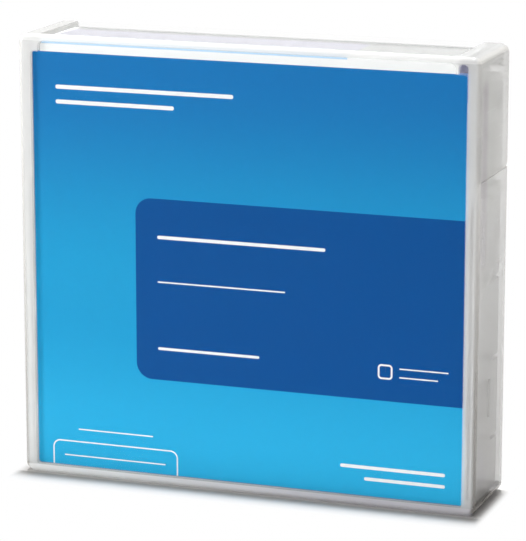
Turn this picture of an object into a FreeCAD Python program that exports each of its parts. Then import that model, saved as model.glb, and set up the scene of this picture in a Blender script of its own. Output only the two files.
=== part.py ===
"""A half-inch data tape cartridge standing in its hinged plastic storage case, with a folded inlay card.

Millimetres. The case stands on its narrow bottom wall: X is its width, Y its depth with the card
facing -Y, and Z is up. The origin is the middle of the bottom wall's underside.
The cartridge is drawn lying flat in its own frame, drive face down and insertion edge at Y = 0,
and then stood up inside the case. The tape's width sets the cartridge's thickness, and the case
follows from the cartridge.
"""

import FreeCAD
import Part
import math
import os

from FreeCAD import Vector

# ---------------------------------------------------------------- modelling
weld = 0.1                     # how far joined pieces run into each other
beyond = 1.0                   # how far a cutter runs past the face it opens

# ---------------------------------------------------------------- cartridge shells
cart_width = 102.0
cart_length = 105.4
shell_corner_radius = 3.0
shell_edge_bevel = 0.5
shell_wall = 2.0
shell_face = 1.6

tape_to_top = 5.5              # wound tape to the cartridge's top face
reel_setback = 1.5             # reel axis before the middle of the cartridge's length
reel_side_gap = 0.5
guard_wall = 1.2               # curved wall round the reel
guard_gap_from = 188.0         # degrees, the tape's way out
guard_gap_to = 262.0
drive_opening_radius = 18.3

front_screw_right = (6.5, 7.0)     # from the side wall and from the insertion edge
front_screw_left = (17.0, 6.0)
rear_screws = (27.0, 5.8)          # from the side walls and from the rear edge
screw_boss_half = 2.9
screw_hole_radius = 1.45
screw_pilot_radius = 1.25
screw_radius = 1.2
screw_head_radius = 2.2
screw_head_height = 1.2
screw_seat_radius = 2.45
screw_seat_depth = 1.5
screw_length = 14.0
screw_end_room = 1.5
screw_drive_width = 1.4
screw_drive_depth = 0.7

grip_margin = 15.0             # grip ridges to the side walls
grip_from = 25.4               # from the rear edge
grip_to = 6.4
grip_depth = 0.4
grip_ridge = 1.3
grip_ridges = 6
top_panel_margin = 8.0
top_panel_to = 32.4            # from the rear edge
top_panel_radius = 5.0
top_panel_depth = 0.35
side_notch_depth = 1.1
side_notch = ((5.4, 1.2), (5.4, 8.9), (17.4, 1.7))   # from the insertion edge and the top face

label_margin_left = 1.6
label_margin_right = 23.4
label_margin_side = 2.3
label_thickness = 0.15
label_recess = 0.25
label_margin = 0.2

# ---------------------------------------------------------------- access door
door_slot_from = 3.4
door_slot_margin = 2.8         # from the big faces
door_recess = 1.2
door_groove_reach = 0.85
door_groove_wide = 0.7
door_length = 23.0
door_travel = 20.0
door_end_room = 0.65
door_clearance = 0.15
door_lip_wall = 0.4
door_face_inset = 0.1
door_arm_width = 1.6
door_arm_height = 1.8
door_arm_margin = 2.2          # from the top face
door_arm_reach = 5.4           # from the slot's inner face
door_arm_room = 0.3
door_arm_drop = 0.2
door_finger_radius = 3.0
door_finger_depth = 0.4
door_finger_from = 3.5
door_finger_high = 4.0
window_from = 5.0
window_length = 19.0

door_spring_radius = 1.05
door_spring_wire = 0.32
door_spring_turns = 8
door_spring_span_count = 8
door_spring_gap = 0.3
door_spring_stop_wall = 1.2
door_spring_channel = 0.4
door_spring_room = 33.8        # between the door's arm and the stop
door_spring_from_wall = 2.1    # spring axis to the shell's inner side face

# ---------------------------------------------------------------- reel
tape_width = 12.65
tape_edge_margin = 1.65        # wound tape to the flanges' rim
tape_core_clearance = 0.03
hub_outer_radius = 22.0
hub_wall = 2.2
hub_floor_low = 2.9
hub_floor_high = 4.1
flange_thickness = 1.0
lower_flange_low = 2.3
tape_edge_gap = 0.05           # wound tape to the flanges' faces
hub_rim_wall = 1.0
hub_rim_low = 1.9
hub_rim_side_gap = 0.6

reel_plate_thickness = 0.9
reel_plate_bore = 4.0
reel_plate_gap = 0.1
drive_teeth = 32
drive_tooth_inner = 12.4
drive_tooth_outer = 15.8
drive_tooth_height = 0.55
drive_tooth_root = 1.3
drive_tooth_tip = 0.6

leg_count = 3
leg_circle = 8.0
leg_width = 2.4
leg_hole_clearance = 0.3
leg_tip_above_plate = 0.1      # legs end just inside the plate's outer face

# ---------------------------------------------------------------- brake
brake_teeth = 16
brake_tooth_inner = 11.4
brake_tooth_outer = 14.8
brake_tooth_height = 0.8
brake_tooth_root = 2.1
brake_tooth_tip = 1.3
brake_tooth_gap = 0.12         # tip to root
brake_disc_radius = 15.0
brake_disc_thickness = 1.4
brake_socket_outer = 5.6
brake_socket_height = 8.4
key_width = 1.4
key_span = 6.6
key_clearance = 0.2
key_bottom_gap = 3.6           # above the brake disc's underside
brake_travel = 1.6
brake_spring_radius = 6.9
brake_spring_wire = 0.8
brake_spring_turns = 4
brake_spring_span_count = 12
brake_spring_gap = 0.2
spring_seat_gap = 0.2
spring_seat_height = 1.4
release_plate_thickness = 0.7
release_hub_radius = 4.6
release_arm_width = 3.4
release_gap = 0.12

# ---------------------------------------------------------------- leader pin
pin_from_side = 7.5
pin_y = 8.5
pin_end_margin = 2.9           # from the big faces
pin_head_radius = 2.2
pin_head_height = 1.2
pin_sleeve_radius = 1.9
pin_pad_gap = 0.1
pin_guide_wall = 1.0
pin_guide_height = 1.2
pin_guide_gap = 0.3
pin_guide_reach = 7.6
leader_thickness = 0.12
leader_edge_gap = 0.1
leader_pack_gap = 0.2
leader_level_run = 12.5        # the tape stays level until it is clear of the flanges

clip_strip = 0.3
clip_plate_from = 3.5          # clip's plate, left and right of the pin's axis
clip_plate_to = 6.1
clip_plate_gap = 0.1
clip_arm_height = 1.0
clip_arm_gap = 0.1
clip_arm_edge = 0.1            # arms sit this far inside the pin's ends
clip_arm_root = 1.6
clip_arm_flare = 1.4
clip_arm_reach = 2.6

# ---------------------------------------------------------------- write-protect tab
protect_from_side = 6.5        # window to the side wall
protect_window_length = 12.0
protect_window_height = 7.1
protect_travel = 6.0
protect_clearance = 0.2
protect_face_setback = 0.4
protect_thumb_wall = 1.6
protect_thumb_depth = 0.9
protect_plate_wall = 1.4
protect_plate_overhang = 1.5
protect_plate_height = 10.5
protect_guide_wall = 1.3
protect_guide_gap = 0.3
protect_guide_overlap = 1.5
protect_guide_end = 1.0

# ---------------------------------------------------------------- memory chip
chip_length = 19.0
chip_height = 10.6
chip_thickness = 0.7
chip_from_side = 3.6
chip_from_rear = 10.8          # foot of the sloping board to the rear edge
chip_seat_gap = 0.15
chip_stand = 0.5               # brackets start this far before the chip's foot
chip_slope = 45.0              # degrees
chip_lift = 0.4
chip_gusset_wall = 1.2
chip_gusset_inset = 1.2

# ---------------------------------------------------------------- inlay card
card_thickness = 0.25
card_edge_gap = 0.55           # card to the lid's rims
card_bottom = 2.2
card_shoulder_drop = 2.6       # the wide panel ends this far under the top wall
neck_inset_left = 2.2          # the folded neck is narrower than the panel
neck_inset_right = 2.8
card_fold_radius = 0.9
card_spine_setback = 1.0       # neck's end to the pocket wall
card_flap_inset = 0.5          # pocket flap to the cartridge's sides
card_flap_height = 13.9
card_flap_start = 7.2          # where the flap's strip begins, from the pocket wall
card_corner_radius = 0.6
card_overlap = 1.0

# ---------------------------------------------------------------- storage case
card_face_gap = 0.05           # card to the panels, and to the cartridge, before and behind it
cart_floor_gap = 0.5           # cartridge to the tray's floor
cart_top_gap = 0.45            # cartridge to the card's fold
cart_side_gap = 0.3            # cartridge to the rails
side_room = 3.8                # cartridge to the tray's inner side walls
panel_wall = 1.2               # big front and back panels
spine_wall = 1.3               # top wall, part of the lid
ear_wall = 1.2                 # lid side walls
tray_wall = 1.4                # tray side walls
tray_floor = 1.3
case_corner_radius = 2.2       # seen from the front
case_edge_radius = 1.1         # round the front face
case_back_bevel = 0.6          # round the back face

lid_floor_gap = 0.3            # the lid's lower edge stays off the table
lid_tray_gap = 0.15            # lid panel to the tray's front edges
ear_height = 29.1              # lid side walls reach this far down from the top
ear_seam = 0.25                # open seam under the ears
ear_side_gap = 0.2             # ear to the tray wall inside it
ear_corner_radius = 2.6

pivot_from_back = 4.0
pivot_from_spine = 11.9        # below the top wall's inside face
pivot_radius = 2.0
pivot_clearance = 0.06
pivot_boss_radius = 3.6
pivot_boss_length = 1.4

pocket_height = 16.4           # the lid's short back wall, down from the top wall's inside
pocket_boss_gap = 0.2          # pocket wall to the pivot bosses beside it
pocket_bridge_gap = 0.8        # the pocket's full-width part to the tray's inner side walls
pocket_seam = 1.5              # open seam between the pocket wall and the tray's back panel
pocket_rib_wall = 1.0
pocket_rib_depth = 6.0
pocket_rib_foot = 0.5
pocket_rib_top_gap = 0.6

inset_wall_setback = 6.3       # tray's upper side walls start behind the front edge
inset_wall_drop = 4.9          # and end this far under the top wall's inside
inset_wall_overlap = 3.3       # how far they reach down inside the lower walls
inset_wall_radius = 4.0

rim_wall = 0.85
rim_depth = 2.2
rim_side_gap = 0.2
rim_low = 4.0
rim_seam_drop = 5.85           # rim's upper end under the seam
card_lug_reach = 2.0
card_lug_height = 5.0
card_lug_thickness = 0.8
card_lug_margin = 8.0
card_lug_count = 3

latch_low = 21.1
latch_length = 8.1
latch_wall = 1.0
latch_depth = 16.2             # from the case's front face to the tab's end
latch_side_gap = 0.4
latch_bump = 0.2
latch_groove_depth = 0.4
latch_groove_width = 1.2
latch_groove_end = 0.5

rail_wall = 1.2
rail_depth = 7.3               # how far the rails stand off the back panel
rail_low = 3.0
rail_pocket_gap = 5.5          # rail's upper end under the pocket wall
web_wall = 1.0
web_depth = 5.0
web_first = 14.0
web_last_drop = 6.9            # last web under the seam
web_count = 4

hub_ring_height = 1.3
hub_ring_wall = 1.9
hub_ring_side_gap = 0.6        # inside the cartridge's drive opening
hub_gap_half = 8.5             # the ring is parted into four

# ---------------------------------------------------------------- places in the cartridge's frame
tape_low = lower_flange_low + flange_thickness + tape_edge_gap
tape_high = tape_low + tape_width
cart_thickness = tape_high + tape_to_top
half_cart = cart_width / 2
mid_thickness = cart_thickness / 2             # the line between the two shells
reel_y = cart_length / 2 - reel_setback
cavity_radius = min(half_cart, reel_y) - shell_wall
flange_radius = cavity_radius - reel_side_gap
tape_outer_radius = flange_radius - tape_edge_margin
shell_inner_x = half_cart - shell_wall
shell_inner_y = cart_length - shell_wall
ceiling_z = cart_thickness - shell_face
slot_inner_x = -half_cart + door_recess
door_slot_low = door_slot_margin
door_slot_high = cart_thickness - door_slot_margin
door_from = door_slot_from + door_clearance
door_slot_to = door_from + door_length + door_travel + door_end_room
door_arm_high = cart_thickness - door_arm_margin
door_arm_low = door_arm_high - door_arm_height
door_arm_from = door_from + door_length - door_arm_width
door_spring_from = door_arm_from + door_arm_width
door_spring_x = -shell_inner_x + door_spring_from_wall
door_spring_z = (door_arm_low + door_arm_high) / 2
upper_flange_low = tape_high + tape_edge_gap
upper_flange_high = upper_flange_low + flange_thickness
hub_inner_radius = hub_outer_radius - hub_wall
hub_rim_radius = drive_opening_radius - hub_rim_side_gap
plate_low = hub_floor_low - reel_plate_thickness
plate_radius = hub_rim_radius - hub_rim_wall - reel_plate_gap
hub_tooth_top = hub_floor_high + brake_tooth_height
brake_mesh_low = hub_tooth_top + brake_tooth_gap    # underside of the brake disc in mesh with the hub
brake_low = brake_mesh_low + brake_travel           # and as drawn, lifted clear as a drive holds it
brake_high = brake_low + brake_disc_thickness
pin_x = -half_cart + pin_from_side
pin_low = pin_end_margin
pin_high = cart_thickness - pin_end_margin
label_left = -half_cart + label_margin_left
label_right = half_cart - label_margin_right
label_low = label_margin_side
label_high = cart_thickness - label_margin_side
protect_window_right = half_cart - protect_from_side
protect_window_left = protect_window_right - protect_window_length
protect_window_low = mid_thickness - protect_window_height / 2
protect_window_high = mid_thickness + protect_window_height / 2
protect_face_width = protect_window_length - protect_travel - 2 * protect_clearance
protect_plate_low = mid_thickness - protect_plate_height / 2
protect_plate_high = mid_thickness + protect_plate_height / 2
chip_left = -half_cart + chip_from_side
chip_foot_y = cart_length - chip_from_rear - chip_stand
screw_places = (
    (half_cart - front_screw_right[0], front_screw_right[1]),
    (-half_cart + front_screw_left[0], front_screw_left[1]),
    (half_cart - rear_screws[0], cart_length - rear_screws[1]),
    (-half_cart + rear_screws[0], cart_length - rear_screws[1]),
)

# ---------------------------------------------------------------- places in the case's frame
inset_inner_x = half_cart + side_room
inset_outer_x = inset_inner_x + tray_wall
ear_inner_x = inset_outer_x + ear_side_gap
half_width = ear_inner_x + ear_wall
tray_inner_x = half_width - tray_wall
rail_inner_x = half_cart + cart_side_gap
boss_inner_x = inset_inner_x - pivot_boss_length
pocket_half_width = boss_inner_x - pocket_boss_gap
rim_outer_x = tray_inner_x - rim_side_gap
rim_inner_x = rim_outer_x - rim_wall
card_half_width = rim_inner_x - card_edge_gap
card_layer = card_thickness + 2 * card_face_gap
case_depth = cart_thickness + 2 * (card_layer + panel_wall)
y_front = -case_depth / 2
y_back = case_depth / 2
panel_inner_y = y_front + panel_wall
tray_front_y = panel_inner_y + lid_tray_gap
tray_panel_y = y_back - panel_wall
card_front_y = panel_inner_y + card_face_gap
card_back_y = tray_panel_y - card_face_gap
cart_floor_y = tray_panel_y - card_layer       # the cartridge's drive face
cart_foot_z = tray_floor + cart_floor_gap
spine_inner_z = cart_foot_z + cart_length + cart_top_gap + card_thickness
case_height = spine_inner_z + spine_wall
reel_axis_z = cart_foot_z + reel_y
ear_bottom_z = case_height - ear_height
tray_top_z = ear_bottom_z - ear_seam
pivot_y = y_back - pivot_from_back
pivot_z = spine_inner_z - pivot_from_spine
inset_wall_top = spine_inner_z - inset_wall_drop
pocket_low_z = spine_inner_z - pocket_height
pocket_bridge_z = inset_wall_top + pocket_bridge_gap
panel_top_z = pocket_low_z - pocket_seam
rail_high = pocket_low_z - rail_pocket_gap
rim_high = tray_top_z - rim_seam_drop
latch_high = latch_low + latch_length
hub_ring_radius = drive_opening_radius - hub_ring_side_gap
card_shoulder = spine_inner_z - card_shoulder_drop
neck_left = -card_half_width + neck_inset_left
neck_right = card_half_width - neck_inset_right
UP = Vector(0, 0, 1)
TO_BACK = Vector(0, 1, 0)
TO_RIGHT = Vector(1, 0, 0)


# ---------------------------------------------------------------- small helpers
def block(x0, x1, y0, y1, z0, z1):
    """A box between two corners."""
    return Part.makeBox(x1 - x0, y1 - y0, z1 - z0, Vector(x0, y0, z0))


def disc(radius, z0, z1, x=0.0, y=0.0):
    """An upright cylinder."""
    return Part.makeCylinder(radius, z1 - z0, Vector(x, y, z0), UP)


def ring(outer, inner, z0, z1, x=0.0, y=0.0):
    """An upright tube."""
    return disc(outer, z0, z1, x, y).cut(disc(inner, z0 - beyond, z1 + beyond, x, y))


def prism(points, direction):
    """A polygon of 3-D points pushed along a direction."""
    return Part.Face(Part.makePolygon(points + points[:1])).extrude(direction)


def rounded_rectangle(a0, a1, b0, b1, radius, place):
    """A face with four round corners; place turns (a, b) into a point in space."""
    k = radius * (1 - math.sqrt(0.5))
    line = Part.LineSegment
    edges = [
        line(place(a0 + radius, b0), place(a1 - radius, b0)),
        Part.Arc(place(a1 - radius, b0), place(a1 - k, b0 + k), place(a1, b0 + radius)),
        line(place(a1, b0 + radius), place(a1, b1 - radius)),
        Part.Arc(place(a1, b1 - radius), place(a1 - k, b1 - k), place(a1 - radius, b1)),
        line(place(a1 - radius, b1), place(a0 + radius, b1)),
        Part.Arc(place(a0 + radius, b1), place(a0 + k, b1 - k), place(a0, b1 - radius)),
        line(place(a0, b1 - radius), place(a0, b0 + radius)),
        Part.Arc(place(a0, b0 + radius), place(a0 + k, b0 + k), place(a0 + radius, b0)),
    ]
    return Part.Face(Part.Wire([e.toShape() for e in edges]))


def upright_slab(x0, x1, z0, z1, radius, y0, y1):
    """A slab facing the front, with corners rounded as seen from the front."""
    face = rounded_rectangle(x0, x1, z0, z1, radius, lambda a, b: Vector(a, y0, b))
    return face.extrude(Vector(0, y1 - y0, 0))


def flat_slab(x0, x1, y0, y1, radius, z0, z1):
    """A slab lying flat, with corners rounded as seen from above."""
    face = rounded_rectangle(x0, x1, y0, y1, radius, lambda a, b: Vector(a, b, z0))
    return face.extrude(Vector(0, 0, z1 - z0))


def edges_on(shape, axis, value):
    """The edges of a shape that lie in one plane square to an axis (0 X, 1 Y, 2 Z)."""
    def flat(edge):
        box = edge.BoundBox
        low = (box.XMin, box.YMin, box.ZMin)[axis]
        high = (box.XMax, box.YMax, box.ZMax)[axis]
        return abs(low - value) < 1e-4 and abs(high - value) < 1e-4
    return [edge for edge in shape.Edges if flat(edge)]


def joined(first, *others):
    """One solid from several that meet."""
    return first.fuse(list(others)).removeSplitter()


def spread(first, last, count):
    """Evenly spaced values from first to last."""
    return [first + (last - first) * i / (count - 1) for i in range(count)]


def both_sides(shape):
    """A shape and its mirror image across the case's middle."""
    return [shape, shape.mirror(Vector(0, 0, 0), Vector(1, 0, 0))]


def around_reel(shape, count):
    """Copies of a shape turned evenly about the reel's axis."""
    copies = []
    for i in range(count):
        copy = shape.copy()
        copy.rotate(Vector(0, reel_y, 0), UP, 360.0 * i / count)
        copies.append(copy)
    return copies


def radial_tooth(inner, outer, root, tip, z_root, z_tip):
    """A straight tooth with sloping flanks, running outwards from the reel's axis along X."""
    points = [
        Vector(inner, reel_y - root / 2, z_root), Vector(inner, reel_y + root / 2, z_root),
        Vector(inner, reel_y + tip / 2, z_tip), Vector(inner, reel_y - tip / 2, z_tip),
    ]
    return prism(points, Vector(outer - inner, 0, 0))


def coil(radius, wire, pitch, turns, spans):
    """A coil spring of square wire along Z from Z = 0, in flat-sided spans, so many to a turn."""
    sections = []
    for i in range(turns * spans + 1):
        angle = 2 * math.pi * i / spans
        out = Vector(math.cos(angle), math.sin(angle), 0) * (wire / 2)
        middle = out * (2 * radius / wire) + UP * (pitch * i / spans)
        up = UP * (wire / 2)
        sections.append([middle - out - up, middle + out - up, middle + out + up, middle - out + up])
    corners = [sections[0][::-1], sections[-1]]
    for one, other in zip(sections, sections[1:]):
        for k in range(4):
            a, b, c, d = one[k], one[(k + 1) % 4], other[(k + 1) % 4], other[k]
            corners += [[a, b, c], [a, c, d]]
    faces = [Part.Face(Part.makePolygon(loop + loop[:1])) for loop in corners]
    return Part.Solid(Part.Shell(faces))


# ---------------------------------------------------------------- the case
def hinge_cylinder(radius, x0, x1):
    """A cylinder on the hinge's axis."""
    return Part.makeCylinder(radius, x1 - x0, Vector(x0, pivot_y, pivot_z), TO_RIGHT)


def case_lid():
    """Front panel, top wall, two ears and a short back wall that makes a pocket, in one moulding."""
    outer = upright_slab(-half_width, half_width, lid_floor_gap, case_height, case_corner_radius,
                         y_front, y_back)
    outer = outer.makeFillet(case_edge_radius, edges_on(outer, 1, y_front))
    outer = outer.makeChamfer(case_back_bevel, edges_on(outer, 1, y_back))
    hollow = upright_slab(-ear_inner_x, ear_inner_x, -case_height, spine_inner_z,
                          case_corner_radius - ear_wall, panel_inner_y, tray_panel_y)
    far = half_width + beyond
    behind = y_back + beyond
    below_ears = block(-far, far, panel_inner_y, behind, -beyond, ear_bottom_z)
    below_pocket = block(-ear_inner_x, ear_inner_x, tray_panel_y - weld, behind, 0, pocket_low_z)
    beside_pocket = block(pocket_half_width, ear_inner_x, tray_panel_y - weld, behind, 0, pocket_bridge_z)
    corner = block(-far, far, y_back - ear_corner_radius, behind,
                   ear_bottom_z - beyond, ear_bottom_z + ear_corner_radius)
    rounding = Part.makeCylinder(
        ear_corner_radius, 2 * far,
        Vector(-far, y_back - ear_corner_radius, ear_bottom_z + ear_corner_radius), TO_RIGHT)
    lid = outer.cut([hollow, below_ears, below_pocket, corner.cut(rounding)] + both_sides(beside_pocket))

    latch_outer_x = tray_inner_x - latch_side_gap
    latch_end_y = y_front + latch_depth
    lug_y = panel_inner_y + card_layer
    details = [
        hinge_cylinder(pivot_radius, boss_inner_x, ear_inner_x + weld),
        block(rim_inner_x, rim_outer_x, panel_inner_y - weld, panel_inner_y + rim_depth,
              rim_low, rim_high),
        block(latch_outer_x - latch_wall, latch_outer_x, panel_inner_y - weld, latch_end_y,
              latch_low, latch_high),
        Part.makeCylinder(latch_bump, latch_high - latch_low,
                          Vector(latch_outer_x, latch_end_y - 2 * latch_bump, latch_low), UP),
        block(rail_inner_x, rail_inner_x + pocket_rib_wall, tray_panel_y - pocket_rib_depth,
              tray_panel_y + weld, pocket_low_z + pocket_rib_foot, spine_inner_z - pocket_rib_top_gap),
    ]
    for z in spread(rim_low + card_lug_margin, rim_high - card_lug_margin, card_lug_count):
        details.append(block(rim_inner_x - card_lug_reach, rim_inner_x + weld, lug_y,
                             lug_y + card_lug_thickness, z, z + card_lug_height))
    pieces = [piece for detail in details for piece in both_sides(detail)]
    return joined(lid, *pieces)


def case_tray():
    """Back panel, floor and side walls, with rails and a hub ring that steady the cartridge."""
    far = half_width + beyond
    outer = upright_slab(-half_width, half_width, 0, case_height, case_corner_radius,
                         tray_front_y, y_back)
    outer = outer.makeChamfer(case_back_bevel, edges_on(outer, 1, y_back))
    above = block(-far, far, y_front, y_back + beyond, tray_top_z, case_height + beyond)
    hollow = upright_slab(-tray_inner_x, tray_inner_x, tray_floor, 2 * case_height,
                          case_corner_radius - tray_wall, y_front, tray_panel_y)
    tray = outer.cut([above, hollow])

    inset_foot_z = tray_top_z - inset_wall_overlap
    upper_panel = block(-inset_outer_x, inset_outer_x, tray_panel_y, y_back, inset_foot_z, panel_top_z)
    side_face = rounded_rectangle(
        tray_front_y + inset_wall_setback, y_back, inset_foot_z - inset_wall_radius, inset_wall_top,
        inset_wall_radius, lambda a, b: Vector(inset_inner_x, a, b))
    inset_wall = side_face.extrude(Vector(tray_wall, 0, 0)).common(
        block(0, half_width, y_front, y_back, inset_foot_z, case_height))
    boss = hinge_cylinder(pivot_boss_radius, boss_inner_x, inset_inner_x + weld)
    rail = block(rail_inner_x, rail_inner_x + rail_wall, tray_panel_y - rail_depth, tray_panel_y + weld,
                 rail_low, rail_high)
    details = [inset_wall, boss, rail]
    for z in spread(web_first, tray_top_z - web_last_drop, web_count):
        details.append(block(rail_inner_x + rail_wall - weld, tray_inner_x + weld,
                             tray_panel_y - web_depth, tray_panel_y + weld, z, z + web_wall))
    pieces = [piece for detail in details for piece in both_sides(detail)]
    ring_foot = Vector(0, tray_panel_y - hub_ring_height, reel_axis_z)
    hub_ring = Part.makeCylinder(hub_ring_radius, hub_ring_height + weld, ring_foot, TO_BACK)
    hub_bore = Part.makeCylinder(hub_ring_radius - hub_ring_wall, hub_ring_height + weld, ring_foot, TO_BACK)
    hub_gaps = [
        block(-x, x, tray_panel_y - hub_ring_height, tray_panel_y + weld, reel_axis_z - z, reel_axis_z + z)
        for x, z in ((half_width, hub_gap_half), (hub_gap_half, case_height))]
    tray = joined(tray, upper_panel, hub_ring.cut([hub_bore] + hub_gaps), *pieces)

    pin_hole = hinge_cylinder(pivot_radius + pivot_clearance, boss_inner_x - beyond, ear_inner_x)
    groove_y = y_front + latch_depth - 2 * latch_bump
    groove = block(tray_inner_x - weld, tray_inner_x + latch_groove_depth,
                   groove_y - latch_groove_width / 2, groove_y + latch_groove_width / 2,
                   latch_low - latch_groove_end, latch_high + latch_groove_end)
    return tray.cut(both_sides(pin_hole) + both_sides(groove))


def card_bend(x0, x1, wall_y, towards, end_y, low_z):
    """A strip of card up a wall and round a bend, to lie under the top wall as far as end_y."""
    r_out = card_fold_radius
    r_in = card_fold_radius - card_thickness
    cy = wall_y + towards * r_out
    cz = spine_inner_z - r_out
    mid = math.sqrt(0.5)

    def arc(radius):
        return Part.Arc(Vector(x0, cy - towards * radius, cz),
                        Vector(x0, cy - towards * radius * mid, cz + radius * mid),
                        Vector(x0, cy, cz + radius)).toShape()

    def line(y0, z0, y1, z1):
        return Part.LineSegment(Vector(x0, y0, z0), Vector(x0, y1, z1)).toShape()

    outside, inside = cy - towards * r_out, cy - towards * r_in
    outline = Part.Wire([
        line(outside, low_z, outside, cz), arc(r_out), line(cy, cz + r_out, end_y, cz + r_out),
        line(end_y, cz + r_out, end_y, cz + r_in), line(end_y, cz + r_in, cy, cz + r_in),
        arc(r_in), line(inside, cz, inside, low_z), line(inside, low_z, outside, low_z),
    ])
    return Part.Face(outline).extrude(Vector(x1 - x0, 0, 0))


def inlay_card():
    """A printed card behind the front panel, folded back under the top wall and into the pocket."""
    wide = upright_slab(-card_half_width, card_half_width, card_bottom, card_shoulder,
                        card_corner_radius, card_front_y, card_front_y + card_thickness)
    neck = card_bend(neck_left, neck_right, card_front_y, 1, tray_panel_y - card_spine_setback,
                     card_shoulder - card_overlap)
    flap_half_width = half_cart - card_flap_inset
    flap = card_bend(-flap_half_width, flap_half_width, card_back_y, -1,
                     tray_panel_y - card_flap_start, spine_inner_z - card_flap_height)
    return joined(wide, neck, flap)


# ---------------------------------------------------------------- cartridge shells
def shell_half(z0, z1, face_z):
    """Outer walls of one shell between z0 and z1, with the inside of its big face at face_z."""
    outer = flat_slab(-half_cart, half_cart, 0, cart_length, shell_corner_radius, z0, z1)
    rim = z0 if face_z < z1 - shell_face else z1
    outer = outer.makeChamfer(shell_edge_bevel, edges_on(outer, 2, rim))
    low, high = (face_z, z1 + beyond) if rim == z0 else (z0 - beyond, face_z)
    inner_radius = shell_corner_radius - shell_wall
    hollow = flat_slab(-shell_inner_x, shell_inner_x, shell_wall, shell_inner_y, inner_radius, low, high)
    return outer.cut(hollow)


def guard(z0, z1):
    """The curved wall round the reel in the lower half, left open where the tape comes out."""
    wall = ring(cavity_radius + guard_wall, cavity_radius, z0, z1, 0, reel_y)
    wall = wall.common(block(-shell_inner_x - weld, shell_inner_x + weld, shell_wall - weld,
                             shell_inner_y + weld, z0, z1))
    wedge = Part.makeCylinder(cart_length, z1 - z0 + 2 * beyond, Vector(0, reel_y, z0 - beyond), UP,
                              guard_gap_to - guard_gap_from)
    wedge.rotate(Vector(0, reel_y, 0), UP, guard_gap_from)
    return wall.cut(wedge)


def door_way():
    """What the door and its guide grooves take out of the left wall, over both shells."""
    recess = block(-half_cart - beyond, slot_inner_x, door_slot_from, door_slot_to,
                   door_slot_low, door_slot_high)
    grooves = block(slot_inner_x - door_groove_wide, slot_inner_x, door_slot_from, door_slot_to,
                    door_slot_low - door_groove_reach, door_slot_high + door_groove_reach)
    window = block(-half_cart, -shell_inner_x + weld, window_from, window_from + window_length,
                   door_slot_low, door_slot_high)
    return [recess, grooves, window]


def protect_way():
    """The write-protect window in the rear wall."""
    return block(protect_window_left, protect_window_right, shell_inner_y - weld, cart_length + beyond,
                 protect_window_low, protect_window_high)


def label_way():
    """The shallow seat of the rear label."""
    return block(label_left - label_margin, label_right + label_margin,
                 cart_length - label_recess, cart_length + beyond,
                 label_low - label_margin, label_high + label_margin)


def pin_seat(z_face, z_pad, z_guide):
    """Pad and two guides that hold one end of the leader pin; the z values run inwards from a face."""
    left, right = -shell_inner_x - weld, -shell_inner_x + pin_guide_reach
    reach = pin_head_radius + pin_guide_gap
    low, high = sorted((z_face, z_pad))
    pad = block(left, right, pin_y - reach - pin_guide_wall, pin_y + reach + pin_guide_wall, low, high)
    low, high = sorted((z_face, z_guide))
    front = block(left, right, pin_y - reach - pin_guide_wall, pin_y - reach, low, high)
    rear = block(left, right, pin_y + reach, pin_y + reach + pin_guide_wall, low, high)
    return [pad, front, rear]


def screw_boss(z0, z1, x, y):
    """A square post round one screw."""
    return block(x - screw_boss_half, x + screw_boss_half, y - screw_boss_half, y + screw_boss_half, z0, z1)


def chip_gussets():
    """Two sloping brackets under the memory chip."""
    foot = shell_face - weld
    top = mid_thickness - chip_seat_gap
    rise = math.tan(math.radians(chip_slope))
    foot_y, top_y = (chip_foot_y + (z - shell_face) / rise for z in (foot, top))
    shapes = []
    for x in (chip_left + chip_gusset_inset, chip_left + chip_length - chip_gusset_inset - chip_gusset_wall):
        points = [
            Vector(x, foot_y, foot), Vector(x, shell_inner_y + weld, foot),
            Vector(x, shell_inner_y + weld, top), Vector(x, top_y, top),
        ]
        shapes.append(prism(points, Vector(chip_gusset_wall, 0, 0)))
    return shapes


def protect_guides(z_face, z_edge, z_track):
    """Rib behind the write-protect tab's plate and the track it slides on."""
    left = protect_window_left - protect_plate_overhang - protect_guide_end
    right = protect_window_right + protect_plate_overhang + protect_guide_end
    plate_y = shell_inner_y - protect_clearance - protect_plate_wall
    rib_y = plate_y - protect_guide_gap
    low, high = sorted((z_face, z_edge))
    rib = block(left, right, rib_y - protect_guide_wall, rib_y, low, high)
    low, high = sorted((z_face, z_track))
    track = block(left, right, rib_y - weld, shell_inner_y + weld, low, high)
    return [rib, track]


def lower_shell():
    """The half with the drive opening, the screw seats and the chip's brackets."""
    shell = shell_half(0, mid_thickness, shell_face)
    floor = shell_face - weld
    parts = [
        guard(floor, mid_thickness),
    ]
    parts += [screw_boss(floor, mid_thickness, x, y) for x, y in screw_places]
    parts += pin_seat(floor, pin_low - pin_pad_gap, pin_low + pin_guide_height)
    parts += chip_gussets()
    parts += protect_guides(floor, protect_plate_low + protect_guide_overlap,
                            protect_plate_low - protect_clearance)
    shell = joined(shell, *parts)
    cutters = door_way() + [protect_way(), label_way(),
                            disc(drive_opening_radius, -beyond, mid_thickness, 0, reel_y)]
    for x, y in screw_places:
        cutters.append(disc(screw_hole_radius, -beyond, mid_thickness + beyond, x, y))
        cutters.append(disc(screw_seat_radius, -beyond, screw_seat_depth, x, y))
    return shell.cut(cutters).removeSplitter()


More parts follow.
